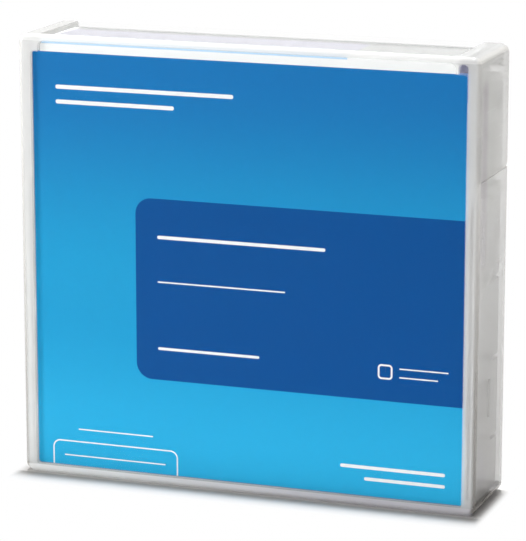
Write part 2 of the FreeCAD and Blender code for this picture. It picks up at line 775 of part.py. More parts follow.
def top_relief():
    """Shallow recesses in the top face: a plain panel and a ribbed grip."""
    top = cart_thickness
    panel_half = half_cart - top_panel_margin
    panel = flat_slab(-panel_half, panel_half, top_panel_margin, cart_length - top_panel_to,
                      top_panel_radius, top - top_panel_depth, top + beyond)
    cutters = [panel]
    grip_half = half_cart - grip_margin
    pitch = (grip_from - grip_to) / grip_ridges
    for i in range(grip_ridges):
        y = cart_length - grip_from + i * pitch
        cutters.append(block(-grip_half, grip_half, y, y + pitch - grip_ridge,
                             top - grip_depth, top + beyond))
    return cutters


def upper_shell():
    """The half with the key post for the brake, the grip ridges and the door spring's stop."""
    shell = shell_half(mid_thickness, cart_thickness, ceiling_z)
    roof = ceiling_z + weld
    post_low = brake_mesh_low + key_bottom_gap
    span, half_key = key_span / 2, key_width / 2
    seat = brake_spring_radius - brake_spring_wire / 2 - spring_seat_gap
    seat_low = ceiling_z - spring_seat_height
    parts = [
        block(-span, span, reel_y - half_key, reel_y + half_key, post_low, roof),
        block(-half_key, half_key, reel_y - span, reel_y + span, post_low, roof),
        block(-seat, seat, reel_y - half_key, reel_y + half_key, seat_low, roof),
        block(-half_key, half_key, reel_y - seat, reel_y + seat, seat_low, roof),
    ]
    parts += [screw_boss(mid_thickness, roof, x, y) for x, y in screw_places]
    parts += pin_seat(roof, pin_high + pin_pad_gap, pin_high - pin_guide_height)
    parts += protect_guides(roof, protect_plate_high - protect_guide_overlap,
                            protect_plate_high + protect_clearance)
    stop_y = door_spring_from + door_spring_room
    spring_reach = door_spring_x + door_spring_radius + door_spring_wire
    stop = block(-shell_inner_x - weld, spring_reach, stop_y, stop_y + door_spring_stop_wall,
                 door_arm_low, roof)
    shell = joined(shell, *parts)
    channel = block(-shell_inner_x, spring_reach + door_spring_channel, door_arm_from - door_arm_room,
                    stop_y + door_spring_stop_wall, door_arm_low - door_arm_drop, ceiling_z)
    arm_slot = block(slot_inner_x - weld, -shell_inner_x + weld, door_arm_from - door_arm_room,
                     door_arm_from + door_arm_width + door_travel + door_arm_room,
                     door_arm_low - door_arm_drop, door_slot_high + door_groove_reach)
    notch = prism([Vector(half_cart - side_notch_depth, y, cart_thickness - drop) for y, drop in side_notch],
                  Vector(side_notch_depth + beyond, 0, 0))
    cutters = door_way() + top_relief() + [protect_way(), label_way(), channel, arm_slot, notch]
    for x, y in screw_places:
        cutters.append(disc(screw_pilot_radius, mid_thickness - beyond, screw_length + screw_end_room, x, y))
    shell = shell.cut(cutters)
    return joined(shell, stop)


def screws():
    """Four screws, each with a round head and a square drive recess."""
    solids = []
    for x, y in screw_places:
        head_low = screw_seat_depth - screw_head_height
        screw = joined(disc(screw_head_radius, head_low, screw_seat_depth, x, y),
                       disc(screw_radius, screw_seat_depth - weld, screw_length, x, y))
        half = screw_drive_width / 2
        recess = block(x - half, x + half, y - half, y + half, head_low - beyond,
                       head_low + screw_drive_depth)
        solids.append(screw.cut(recess))
    return Part.makeCompound(solids)


def rear_label():
    """The paper label on the edge that stays outside the drive."""
    face = cart_length - label_recess
    return block(label_left, label_right, face, face + label_thickness, label_low, label_high)


# ---------------------------------------------------------------- access door
def access_door():
    """A flat sliding door with guide lips above and below, and an arm for its spring."""
    inner_x = slot_inner_x - door_clearance
    lip_x = inner_x - door_lip_wall
    outer_x = -half_cart + door_face_inset
    end = door_from + door_length
    face = block(outer_x, lip_x, door_from, end, door_slot_low + door_clearance,
                 door_slot_high - door_clearance)
    lips = block(lip_x, inner_x, door_from, end, door_slot_low - door_groove_reach + door_clearance,
                 door_slot_high + door_groove_reach - door_clearance)
    arm = block(lip_x, slot_inner_x + door_arm_reach, door_arm_from, end, door_arm_low, door_arm_high)
    notch_x = outer_x + door_finger_depth - door_finger_radius
    finger_notch = disc(door_finger_radius, mid_thickness, mid_thickness + door_finger_high,
                        notch_x, door_from + door_finger_from)
    return joined(face, lips, arm).cut(finger_notch)


def door_spring():
    """The long thin spring that pushes the door shut."""
    length = door_spring_room - door_spring_wire - 2 * door_spring_gap
    spring = coil(door_spring_radius, door_spring_wire, length / door_spring_turns,
                  door_spring_turns, door_spring_span_count)
    spring.rotate(Vector(0, 0, 0), TO_RIGHT, -90)
    foot_y = door_spring_from + door_spring_gap + door_spring_wire / 2
    spring.translate(Vector(door_spring_x, foot_y, door_spring_z))
    return spring


# ---------------------------------------------------------------- reel
def legs(room, z0, z1):
    """The release plate's legs, or with some room the holes they slide in."""
    half = leg_width / 2 + room
    leg = block(leg_circle - half, leg_circle + half, reel_y - half, reel_y + half, z0, z1)
    return around_reel(leg, leg_count)


def reel_hub():
    """Hub cup and lower flange in one moulding, with the locking teeth on its floor."""
    flange = disc(flange_radius, lower_flange_low, lower_flange_low + flange_thickness, 0, reel_y)
    wall = ring(hub_outer_radius, hub_inner_radius, hub_floor_low, upper_flange_low, 0, reel_y)
    floor = disc(hub_outer_radius, hub_floor_low, hub_floor_high, 0, reel_y)
    rim = ring(hub_rim_radius, hub_rim_radius - hub_rim_wall, hub_rim_low, hub_floor_high, 0, reel_y)
    body = joined(flange, wall, floor, rim)
    body = body.cut(disc(hub_rim_radius - hub_rim_wall, 0, hub_floor_low, 0, reel_y))
    body = body.cut(legs(leg_hole_clearance, 0, hub_floor_high + beyond))
    tooth = radial_tooth(brake_tooth_inner, brake_tooth_outer, brake_tooth_root, brake_tooth_tip,
                         hub_floor_high - weld, hub_tooth_top)
    return joined(body, *around_reel(tooth, brake_teeth))


def upper_flange():
    """The flat upper flange, welded face to face on the hub's wall."""
    return ring(flange_radius, hub_inner_radius, upper_flange_low, upper_flange_high, 0, reel_y)


def reel_plate():
    """The steel ring under the hub, toothed for the drive's spindle."""
    plate = ring(plate_radius, reel_plate_bore, plate_low, hub_floor_low, 0, reel_y)
    plate = plate.cut(legs(leg_hole_clearance, 0, hub_floor_high))
    tooth = radial_tooth(drive_tooth_inner, drive_tooth_outer, drive_tooth_root, drive_tooth_tip,
                         plate_low + weld, plate_low - drive_tooth_height)
    return joined(plate, *around_reel(tooth, drive_teeth))


def tape_pack():
    """The wound tape, as one ring."""
    return ring(tape_outer_radius, hub_outer_radius + tape_core_clearance,
                tape_low, tape_high, 0, reel_y)


# ---------------------------------------------------------------- brake
def brake_button():
    """A toothed disc that locks the hub, with a cross-shaped socket round the upper shell's key."""
    plate = disc(brake_disc_radius, brake_low, brake_high, 0, reel_y)
    socket = disc(brake_socket_outer, brake_high - weld, brake_high + brake_socket_height, 0, reel_y)
    tooth = radial_tooth(brake_tooth_inner, brake_tooth_outer, brake_tooth_root, brake_tooth_tip,
                         brake_low + weld, brake_low - brake_tooth_height)
    teeth = around_reel(tooth, brake_teeth)
    for one in teeth:
        one.rotate(Vector(0, reel_y, 0), UP, 180.0 / brake_teeth)
    body = joined(plate, socket, *teeth)
    span = key_span / 2 + key_clearance
    half_key = key_width / 2 + key_clearance
    floor = brake_mesh_low + key_bottom_gap - key_clearance
    top = brake_high + brake_socket_height + beyond
    cross = [block(-span, span, reel_y - half_key, reel_y + half_key, floor, top),
             block(-half_key, half_key, reel_y - span, reel_y + span, floor, top)]
    return body.cut(cross)


def brake_spring():
    """The spring that presses the brake down on the hub."""
    length = ceiling_z - brake_high - brake_spring_wire - 2 * brake_spring_gap
    spring = coil(brake_spring_radius, brake_spring_wire, length / brake_spring_turns,
                  brake_spring_turns, brake_spring_span_count)
    spring.translate(Vector(0, reel_y, brake_high + brake_spring_gap + brake_spring_wire / 2))
    return spring


def release_plate():
    """Three arms on a hub, with legs that the drive pushes up through the reel's floor."""
    low = hub_floor_high + release_gap + brake_travel
    half_arm = release_arm_width / 2
    hub = disc(release_hub_radius, low, brake_low - release_gap, 0, reel_y)
    arm = block(0, leg_circle + half_arm, reel_y - half_arm, reel_y + half_arm,
                low, low + release_plate_thickness)
    arms = around_reel(arm, leg_count)
    return joined(hub, *arms, *legs(0, plate_low + leg_tip_above_plate + brake_travel, low + weld))


# ---------------------------------------------------------------- leader pin and tape end
def leader_pin():
    """The steel pin on the tape's end, with a head at each end and the sleeve that grips the tape."""
    return joined(
        disc(pin_sleeve_radius, pin_low, pin_high, pin_x, pin_y),
        disc(pin_head_radius, pin_low, pin_low + pin_head_height, pin_x, pin_y),
        disc(pin_head_radius, pin_high - pin_head_height, pin_high, pin_x, pin_y))


def tape_leader():
    """The free stretch of tape, tangent to the pin and to the wound pack, which rests a little lower."""
    from_pin = Vector(-pin_x, reel_y - pin_y, 0)
    pack_radius = tape_outer_radius + leader_pack_gap
    turn = math.acos((pin_sleeve_radius - pack_radius) / from_pin.Length)
    angle = math.atan2(from_pin.y, from_pin.x) + turn
    normal = Vector(math.cos(angle), math.sin(angle), 0)
    width = Vector(0, 0, tape_width - 2 * leader_edge_gap)
    pin_low_edge = (pin_low + pin_high) / 2 - width.z / 2
    start = Vector(pin_x, pin_y, pin_low_edge) + normal * pin_sleeve_radius
    end = Vector(0, reel_y, tape_low + leader_edge_gap) + normal * pack_radius
    knee = end + Vector(normal.y, -normal.x, 0) * -leader_level_run
    return prism([start, knee, end, end + width, knee + width, start + width], normal * leader_thickness)


def pin_clip():
    """A leaf spring on the front wall whose two arms hold the pin's heads in their seats."""
    back_y = shell_wall + clip_plate_gap
    plate_end = pin_x + clip_plate_to
    plate = block(pin_x - clip_plate_from, plate_end, back_y, back_y + clip_strip, pin_low, pin_high)
    touch_x = pin_x + pin_head_radius + clip_arm_gap
    arms = []
    for z in (pin_low + clip_arm_edge, pin_high - clip_arm_edge - clip_arm_height):
        inner = [
            Vector(plate_end, back_y, z), Vector(plate_end, back_y + clip_arm_root, z),
            Vector(touch_x, pin_y, z), Vector(touch_x + clip_arm_flare, pin_y + clip_arm_reach, z),
        ]
        outer = [point + Vector(clip_strip, 0, 0) for point in reversed(inner)]
        arms.append(prism(inner + outer, Vector(0, 0, clip_arm_height)))
    return joined(plate, *arms)


# ---------------------------------------------------------------- write-protect tab and chip
def write_protect_tab():
    """The sliding tab in the rear wall: a plate behind the wall and a thumb-grooved face in the window."""
    plate_y = shell_inner_y - protect_clearance
    right = protect_window_right - protect_clearance
    left = right - protect_face_width
    plate = block(left - protect_plate_overhang, right + protect_plate_overhang,
                  plate_y - protect_plate_wall, plate_y, protect_plate_low, protect_plate_high)
    face_y = cart_length - protect_face_setback
    face = block(left, right, plate_y - weld, face_y, protect_window_low + protect_clearance,
                 protect_window_high - protect_clearance)
    thumb_groove = block(left + protect_thumb_wall, right - protect_thumb_wall,
                         face_y - protect_thumb_depth, face_y + beyond,
                         protect_window_low, protect_window_high)
    return joined(plate, face).cut(thumb_groove)


def memory_chip():
    """The radio memory chip's board, sloping so that it reads from below and behind."""
    board = block(chip_left, chip_left + chip_length, 0, chip_height, 0, chip_thickness)
    board.rotate(Vector(0, 0, 0), TO_RIGHT, chip_slope)
    slope = math.radians(chip_slope)
    foot_y = chip_foot_y + chip_lift / math.tan(slope) - chip_seat_gap / math.sin(slope)
    board.translate(Vector(0, foot_y, shell_face + chip_lift))
    return board


# ---------------------------------------------------------------- assembly
def in_case(shape):
    """Stand a cartridge piece up in the case: insertion edge down, drive face to the back."""
    placed = shape.copy()
    placed.rotate(Vector(0, 0, 0), TO_RIGHT, 90)
    placed.translate(Vector(0, cart_floor_y, cart_foot_z))
    return placed


def main():
    os.makedirs("parts", exist_ok=True)
    case_parts = {"case_lid": case_lid(), "case_tray": case_tray(), "inlay_card": inlay_card()}
    cartridge_parts = {
        "lower_shell": lower_shell(), "upper_shell": upper_shell(), "shell_screws": screws(),
        "rear_label": rear_label(), "access_door": access_door(), "door_spring": door_spring(),
        "reel_hub": reel_hub(), "upper_flange": upper_flange(), "reel_plate": reel_plate(),
        "tape_pack": tape_pack(), "brake_button": brake_button(), "brake_spring": brake_spring(),
        "release_plate": release_plate(), "leader_pin": leader_pin(), "tape_leader": tape_leader(),
        "pin_clip": pin_clip(), "write_protect_tab": write_protect_tab(), "memory_chip": memory_chip(),
    }
    parts = dict(case_parts)
    for name, shape in cartridge_parts.items():
        parts[name] = in_case(shape)
    for name, shape in parts.items():
        shape.exportStep(os.path.join("parts", name + ".step"))
        print(name, "solids", len(shape.Solids), "valid", shape.isValid(), "volume", round(shape.Volume, 2))


main()
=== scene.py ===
import math

import bmesh
import bpy
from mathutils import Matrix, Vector


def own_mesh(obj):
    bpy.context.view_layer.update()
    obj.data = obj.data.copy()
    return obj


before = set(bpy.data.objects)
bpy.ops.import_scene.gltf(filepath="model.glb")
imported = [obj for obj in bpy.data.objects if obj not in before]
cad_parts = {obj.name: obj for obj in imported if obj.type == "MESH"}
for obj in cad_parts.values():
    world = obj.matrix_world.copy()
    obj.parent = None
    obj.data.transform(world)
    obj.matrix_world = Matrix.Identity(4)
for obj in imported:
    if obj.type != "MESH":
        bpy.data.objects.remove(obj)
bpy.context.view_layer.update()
mm = 0.001


class Wire:
    def __init__(self, graph, socket):
        self.graph = graph
        self.socket = socket

    def math(self, operation, *values):
        return self.graph.node("ShaderNodeMath", {"operation": operation}, dict(enumerate(values)))

    def __add__(self, other):
        return self.math("ADD", self, other)

    def __radd__(self, other):
        return self.math("ADD", other, self)

    def __sub__(self, other):
        return self.math("SUBTRACT", self, other)

    def __rsub__(self, other):
        return self.math("SUBTRACT", other, self)

    def __mul__(self, other):
        return self.math("MULTIPLY", self, other)

    def __rmul__(self, other):
        return self.math("MULTIPLY", other, self)

    def __truediv__(self, other):
        return self.math("DIVIDE", self, other)

    def __rtruediv__(self, other):
        return self.math("DIVIDE", other, self)

    def __pow__(self, other):
        return self.math("POWER", self, other)

    def __rpow__(self, other):
        return self.math("POWER", other, self)

    def __abs__(self):
        return self.math("ABSOLUTE", self)

    def most(self, other):
        return self.math("MAXIMUM", self, other)

    def ramp(self, start, end, low=0.0, high=1.0):
        return self.graph.node("ShaderNodeMapRange", {"interpolation_type": "SMOOTHSTEP"},
                               {"Value": self, "From Min": start, "From Max": end, "To Min": low, "To Max": high})

    # nearly all of a noise lies between 0.3 and 0.7
    def spread(self, low=0.0, high=1.0):
        return self.ramp(0.3, 0.7, low, high)


class Graph:
    def __init__(self, name):
        self.material = bpy.data.materials.new(name)
        self.material.use_nodes = True
        self.tree = self.material.node_tree
        self.tree.nodes.clear()

    def node(self, kind, settings, values, output=0):
        made = self.tree.nodes.new(kind)
        for key, value in settings.items():
            setattr(made, key, value)
        for key, value in values.items():
            if isinstance(value, Wire):
                self.tree.links.new(value.socket, made.inputs[key])
            elif value is not None:
                made.inputs[key].default_value = value
        return Wire(self, made.outputs[output])

    def place(self):
        return self.node("ShaderNodeTexCoord", {}, {}, "Object")

    def axes(self, where):
        split = self.node("ShaderNodeSeparateXYZ", {}, {0: where}).socket.node
        return [Wire(self, output) for output in split.outputs]

    def noise(self, where, scale, detail=3.0, roughness=0.55):
        return self.node("ShaderNodeTexNoise", {}, {"Vector": where, "Scale": scale, "Detail": detail,
                                                    "Roughness": roughness})

    def blend(self, factor, first, second, mode="MIX"):
        return self.node("ShaderNodeMix", {"data_type": "RGBA", "blend_type": mode},
                         {0: factor, 6: first, 7: second}, 2)

    def bump(self, height, distance, edge=0.0):
        soft = self.node("ShaderNodeBevel", {"samples": 6}, {"Radius": edge}) if edge else None
        return self.node("ShaderNodeBump", {}, {"Height": height, "Distance": distance, "Normal": soft})

    def join(self, x, y, z):
        return self.node("ShaderNodeCombineXYZ", {}, {0: x, 1: y, 2: z})

    def principled(self, **values):
        return self.node("ShaderNodeBsdfPrincipled", {},
                         {key.replace("_", " "): value for key, value in values.items()})

    def finish(self, shader):
        result = self.tree.nodes.new("ShaderNodeOutputMaterial")
        self.tree.links.new(shader.socket, result.inputs[0])
        return self.material


def srgb(red, green, blue):
    def linear(value):
        part = value / 255.0
        return part / 12.92 if part <= 0.04045 else ((part + 0.055) / 1.055) ** 2.4
    return (linear(red), linear(green), linear(blue), 1.0)


def span(across, up):
    return (across * across + up * up) ** 0.5


# distance from a box with rounded corners, below zero inside it
def roundedBox(across, up, left, right, low, high, radius):
    dx = (abs(across - (left + right) / 2) - ((right - left) / 2 - radius)).most(0.0)
    dz = (abs(up - (low + high) / 2) - ((high - low) / 2 - radius)).most(0.0)
    return span(dx, dz) - radius


def inside(distance, soft):
    return distance.ramp(soft, -soft)


def paint(node, material):
    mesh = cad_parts[node].data
    mesh.materials.clear()
    mesh.materials.append(material)


# Lengths in the dictionaries of looks are in mm. A box is left, right, low, high and its corners' radius.
# A pair is where a field starts to show and where it is full.
card = {
    # the blue lightens toward the foot: partly the print's own fade, partly painted light that lifts the lowest
    # part against the shade near the floor
    "top": srgb(26, 118, 184), "middle": srgb(33, 158, 209), "bottom": srgb(47, 181, 229),
    "lowFade": (2.0, 42.0), "highFade": (50.0, 104.0), "soft": 0.05,
    "panel": srgb(8, 81, 150), "panelBox": (-28.1, 70.0, 26.2, 70.9, 4.0),
    "white": srgb(246, 247, 246), "field": (-54.6, 54.9, 2.2, 105.0, 0.5),
    "footBox": (-50.4, -17.7, -10.0, 8.5, 1.8), "footLine": 0.17,
    "tile": (33.4, 36.6, 31.7, 34.9, 0.7), "tileLine": 0.22,
    # plain bars in place of words: left, right, height, half thickness
    "bars": ((-48.5, -3.0, 96.6, 0.5), (-48.5, -18.0, 93.0, 0.5),
             (-22.5, 20.0, 61.5, 0.42), (-22.5, 10.0, 50.5, 0.18), (-22.5, 3.5, 34.0, 0.34),
             (-43.7, -24.0, 11.7, 0.16), (-47.5, -20.8, 4.9, 0.16),
             (38.5, 50.5, 34.3, 0.16), (38.5, 48.0, 32.2, 0.16),
             (24.0, 50.0, 9.4, 0.42), (30.0, 50.0, 6.6, 0.42)),
    "barRound": 0.9,
    "neckMiddle": -0.3, "besideNeck": (52.1, 52.2), "shoulders": (80.0, 81.0),
    "rule": srgb(186, 216, 240), "ruleUp": (106.9, 107.05), "ruleFront": (-9.7, -9.9), "ruleEnd": (25.2, 25.0),
    "lavender": srgb(246, 246, 253), "spineBack": (-8.6, -8.2), "spineEnd": (25.0, 24.6),
    "inside": srgb(226, 227, 226), "frontFace": (-10.88, -10.94), "fold": (105.2, 105.3), "foldBack": (8.0, 7.6),
    "grain": 900.0, "grainGrey": (0.5, 0.5, 0.5, 1.0), "grainShow": 0.06, "rough": (0.34, 0.46),
    "depth": 0.00001, "gloss": 0.05,
}


def cardPrint():
    g = Graph("cardPrint")
    where = g.place()
    x, y, z = (axis / mm for axis in g.axes(where))
    soft = card["soft"]
    # partly painted light: the bottom blue is lifted against the shade near the floor, over the print's own fade
    low = g.blend(z.ramp(*card["lowFade"]), card["bottom"], card["middle"])
    field = g.blend(z.ramp(*card["highFade"]), low, card["top"])
    field = g.blend(inside(roundedBox(x, z, *card["panelBox"]), soft), field, card["panel"])
    marks = inside(abs(roundedBox(x, z, *card["footBox"])) - card["footLine"], soft)
    marks = marks.most(inside(abs(roundedBox(x, z, *card["tile"])) - card["tileLine"], soft))
    for left, right, height, half in card["bars"]:
        bar = roundedBox(x, z, left, right, height - half, height + half, half * card["barRound"])
        marks = marks.most(inside(bar, soft))
    field = g.blend(marks, field, card["white"])
    shoulders = abs(x - card["neckMiddle"]).ramp(*card["besideNeck"]) * z.ramp(*card["shoulders"])
    printed = inside(roundedBox(x, z, *card["field"]), soft).most(shoulders)
    front = g.blend(printed, card["white"], field)
    rule = z.ramp(*card["ruleUp"]) * y.ramp(*card["ruleFront"]) * x.ramp(*card["ruleEnd"])
    front = g.blend(rule, front, card["rule"])
    front = g.blend(y.ramp(*card["spineBack"]) * x.ramp(*card["spineEnd"]), front, card["lavender"])
    isFront = y.ramp(*card["frontFace"]).most(z.ramp(*card["fold"]) * y.ramp(*card["foldBack"]))
    grain = g.noise(where, card["grain"], detail=4.0)
    colour = g.blend(isFront, card["inside"], front)
    colour = g.blend(grain.spread(0.0, card["grainShow"]), colour, card["grainGrey"], "SOFT_LIGHT")
    return g.finish(g.principled(Base_Color=colour, Roughness=grain.spread(*card["rough"]),
                                 Specular_IOR_Level=card["gloss"], Normal=g.bump(grain, card["depth"])))


# The milky plastic turns clear where the card lies against it.
case = {
    "front": srgb(249, 249, 247), "shade": srgb(244, 244, 242), "cloud": 34.0, "cloudAlpha": 0.02,
    "rough": (0.12, 0.24), "fine": 2500.0, "cloudHeight": 2.0, "depth": 0.000006,
    "index": 1.49,
    "scratch": 3.0, "scratchAlong": 0.02, "scratchAcross": 1.6, "scratchShow": (0.58, 0.66), "scratchRough": 0.08,
    "sheen": 0.6, "sheenPower": 4.0, "sheenRough": 0.08,
    # share of the plastic's own white: over the card, in the walls, and what the top and the foot add
    "cardAlpha": 0.0015, "wallAlpha": 0.50, "topWall": 0.20, "footWall": 0.42,
    "notchAlpha": 0.21, "topAlpha": 0.02, "sideAlpha": (45.0, 95.0, 0.42, 0.50),
    "frontFace": (-10.9, -11.0), "topFace": (107.6, 107.8), "footFace": (2.4, 1.9), "backFace": (12.0, 12.2),
    "window": (-54.4, 54.4, 2.4, 105.1, 0.8), "neckWindow": (-52.4, 51.6, 90.0, 107.6, 1.4), "windowSoft": 0.2,
    "topWindow": (-52.4, 51.6, -10.8, 14.0, 0.6), "topSoft": 0.4,
    "notch": (52.3, 54.5, 98.0, 107.4, 1.0), "notchSoft": 0.25, "notchTint": srgb(196, 196, 228),
    "gateAt": (0.0, 31.0), "gateRadius": 1.1, "gateLine": 0.12, "gateSoft": 0.08, "gateHeight": 20.0,
}
# painted shade: right darkens the case toward the right, foot darkens the foot strip toward the right, sideHigh to
# sideLow darkens the sides toward the foot; back, stripe, wedge and slot are faint inner shapes seen through the
# sides
caseShadeAndShapes = {
    "right": srgb(242, 242, 243), "across": (-40.0, 57.0),
    "foot": srgb(222, 218, 224), "footAcross": (-60.0, 40.0),
    "sideFace": (56.3, 57.2), "sideHigh": srgb(252, 250, 245), "sideLow": srgb(168, 163, 157),
    "sideFade": (4.0, 100.0), "back": srgb(232, 231, 227), "backFrom": (7.6, 10.6), "backShow": 0.45,
    "stripe": srgb(229, 223, 231), "stripeBox": (-10.4, -6.1, 60.0, 102.6, 2.1), "stripeSoft": 2.0,
    "wedge": srgb(220, 213, 224), "wedgeTop": 19.0, "wedgeSlope": 0.7, "wedgeFront": -10.0, "wedgeSoft": 0.6,
    "wedgeStart": (-10.6, -9.7), "wedgeFoot": (6.5, 7.5),
    "slot": srgb(226, 226, 222), "slotBox": (3.3, 4.1, 21.0, 29.0, 0.3), "slotSoft": 0.25, "slotShow": 0.6,
}


# faint shapes that show through the case's sides, and painted shade: the case darker toward the right, its foot
# strip darker toward the right, and its sides darker from top to foot
def caseShades(g, x, y, z, colour):
    side = abs(x).ramp(*caseShadeAndShapes["sideFace"])
    # painted shade: the sides go darker from sideHigh at the top to sideLow at the foot
    sideShadeAndShapes = g.blend(z.ramp(*caseShadeAndShapes["sideFade"]), caseShadeAndShapes["sideLow"], caseShadeAndShapes["sideHigh"])
    sideShadeAndShapes = g.blend(y.ramp(*caseShadeAndShapes["backFrom"]) * caseShadeAndShapes["backShow"], sideShadeAndShapes, caseShadeAndShapes["back"])
    stripe = inside(roundedBox(y, z, *caseShadeAndShapes["stripeBox"]), caseShadeAndShapes["stripeSoft"])
    sideShadeAndShapes = g.blend(stripe, sideShadeAndShapes, caseShadeAndShapes["stripe"], "MULTIPLY")
    slope = (caseShadeAndShapes["wedgeTop"] - z) * caseShadeAndShapes["wedgeSlope"] + caseShadeAndShapes["wedgeFront"] - y
    wedge = slope.ramp(-caseShadeAndShapes["wedgeSoft"], caseShadeAndShapes["wedgeSoft"]) * y.ramp(*caseShadeAndShapes["wedgeStart"]) \
        * z.ramp(*caseShadeAndShapes["wedgeFoot"])
    sideShadeAndShapes = g.blend(wedge, sideShadeAndShapes, caseShadeAndShapes["wedge"], "MULTIPLY")
    slot = inside(roundedBox(y, z, *caseShadeAndShapes["slotBox"]), caseShadeAndShapes["slotSoft"])
    sideShadeAndShapes = g.blend(slot * caseShadeAndShapes["slotShow"], sideShadeAndShapes, caseShadeAndShapes["slot"])
    # painted shade: the case darker toward the right
    colour = g.blend(x.ramp(*caseShadeAndShapes["across"]), colour, caseShadeAndShapes["right"], "MULTIPLY")
    # painted shade: the foot strip darker toward the right
    foot = z.ramp(*case["footFace"]) * x.ramp(*caseShadeAndShapes["footAcross"])
    colour = g.blend(foot, colour, caseShadeAndShapes["foot"], "MULTIPLY")
    return g.blend(side, colour, sideShadeAndShapes), side


def casePlastic():
    g = Graph("casePlastic")
    where = g.place()
    x, y, z = (axis / mm for axis in g.axes(where))
    facesFront = y.ramp(*case["frontFace"])
    overPrint = inside(roundedBox(x, z, *case["window"]), case["windowSoft"])
    overNeck = inside(roundedBox(x, z, *case["neckWindow"]), case["windowSoft"])
    overCard = overPrint.most(overNeck) * facesFront
    overNotch = inside(roundedBox(x, z, *case["notch"]), case["notchSoft"]) * facesFront * (1.0 - overCard)
    onTop = z.ramp(*case["topFace"])
    overTop = inside(roundedBox(x, y, *case["topWindow"]), case["topSoft"]) * onTop
    cloud = g.noise(where, case["cloud"], detail=2.0)
    colour, side = caseShades(g, x, y, z, g.blend(cloud, case["shade"], case["front"]))
    colour = g.blend(overNotch, colour, case["notchTint"])
    wall = side * (z.ramp(*case["sideAlpha"]) - case["wallAlpha"]) + onTop * case["topWall"] \
        + case["wallAlpha"] + z.ramp(*case["footFace"]) * case["footWall"] \
        + cloud.spread(-case["cloudAlpha"], case["cloudAlpha"])
    alpha = wall * (1.0 - overCard) * (1.0 - overNotch) * (1.0 - overTop) + overCard * case["cardAlpha"] \
        + overNotch * case["notchAlpha"] + overTop * case["topAlpha"]
    gateX, gateZ = case["gateAt"]
    gate = inside(abs(span(x - gateX, z - gateZ) - case["gateRadius"]) - case["gateLine"], case["gateSoft"])
    fine = g.noise(where, case["fine"])
    height = fine + cloud * case["cloudHeight"] + gate * y.ramp(*case["backFace"]) * case["gateHeight"]
    along, across = case["scratchAlong"], case["scratchAcross"]
    scratch = g.noise(g.join(x * along, y * along, z * across), case["scratch"], detail=5.0, roughness=0.7)
    surface = g.principled(
        Base_Color=colour, Alpha=alpha, IOR=case["index"], Normal=g.bump(height, case["depth"]),
        Roughness=fine.spread(*case["rough"]) + scratch.ramp(*case["scratchShow"]) * case["scratchRough"])
    facing = g.node("ShaderNodeLayerWeight", {}, {"Blend": 0.5}, "Facing")
    sheen = g.node("ShaderNodeBsdfGlossy", {}, {"Color": (1.0, 1.0, 1.0, 1.0), "Roughness": case["sheenRough"]})
    return g.finish(g.node("ShaderNodeMixShader", {}, {
        0: facing ** case["sheenPower"] * case["sheen"] * overCard, 1: surface, 2: sheen}))


# base and shade blend over the piece; grain is the texture's scale and depth; edge rounds what meets the light
plastics = {
    "charcoalShell": {"base": srgb(50, 50, 53), "shade": srgb(42, 42, 45), "rough": 0.56, "grain": 3500.0,
                      "depth": 0.00003, "edge": 0.0003, "pieces": ("lower_shell", "upper_shell")},
    "doorPlastic": {"base": srgb(66, 66, 70), "shade": srgb(58, 58, 61), "rough": 0.36, "grain": 4000.0,
                    "depth": 0.00001, "edge": 0.0002, "pieces": ("access_door",)},
    "reelPlastic": {"base": srgb(226, 226, 219), "shade": srgb(217, 217, 210), "rough": 0.42, "grain": 2500.0,
                    "depth": 0.00001, "edge": 0.0002, "pieces": ("reel_hub", "upper_flange")},
    "brakePlastic": {"base": srgb(233, 231, 222), "shade": srgb(225, 223, 214), "rough": 0.40, "grain": 2500.0,
                     "depth": 0.00001, "edge": 0.00015, "pieces": ("brake_button",)},
    "releasePlastic": {"base": srgb(206, 208, 211), "shade": srgb(197, 199, 202), "rough": 0.40, "grain": 2500.0,
                       "depth": 0.00001, "edge": 0.00015, "pieces": ("release_plate",)},
    "tabPlastic": {"base": srgb(160, 40, 34), "shade": srgb(146, 33, 29), "rough": 0.45, "grain": 3000.0,
                   "depth": 0.00001, "edge": 0.0002, "pieces": ("write_protect_tab",)},
}
plasticWear = {"broad": 35.0, "spread": 0.07, "rub": 140.0, "rubShow": (0.56, 0.74), "rubShine": 0.08}


def plastic(name):
    look = plastics[name]
    g = Graph(name)
    where = g.place()
    fine = g.noise(where, look["grain"], detail=4.0)
    broad = g.noise(where, plasticWear["broad"], detail=4.0)
    rub = g.noise(where, plasticWear["rub"], detail=6.0, roughness=0.7).ramp(*plasticWear["rubShow"])
    rough = ((fine + broad) / 2).spread(look["rough"] - plasticWear["spread"],
                                        look["rough"] + plasticWear["spread"])
    return g.finish(g.principled(Base_Color=g.blend(broad.spread(), look["base"], look["shade"]),
                                 Roughness=rough - rub * plasticWear["rubShine"],
                                 Normal=g.bump(fine, look["depth"], look["edge"])))


metals = {
    "zincSteel": {"base": srgb(198, 200, 202), "shade": srgb(178, 181, 185), "rough": 0.32,
                  "pieces": ("shell_screws",)},
    "springSteel": {"base": srgb(188, 188, 186), "shade": srgb(168, 168, 166), "rough": 0.30,
                    "pieces": ("door_spring", "brake_spring")},
    "pinSteel": {"base": srgb(220, 221, 223), "shade": srgb(208, 209, 212), "rough": 0.16,
                 "pieces": ("leader_pin",)},
    "clipSteel": {"base": srgb(190, 188, 182), "shade": srgb(174, 172, 166), "rough": 0.34,
                  "pieces": ("pin_clip",)},
}
metalWear = {"fine": 900.0, "broad": 60.0, "smoother": 0.06, "rougher": 0.1, "depth": 0.000003}


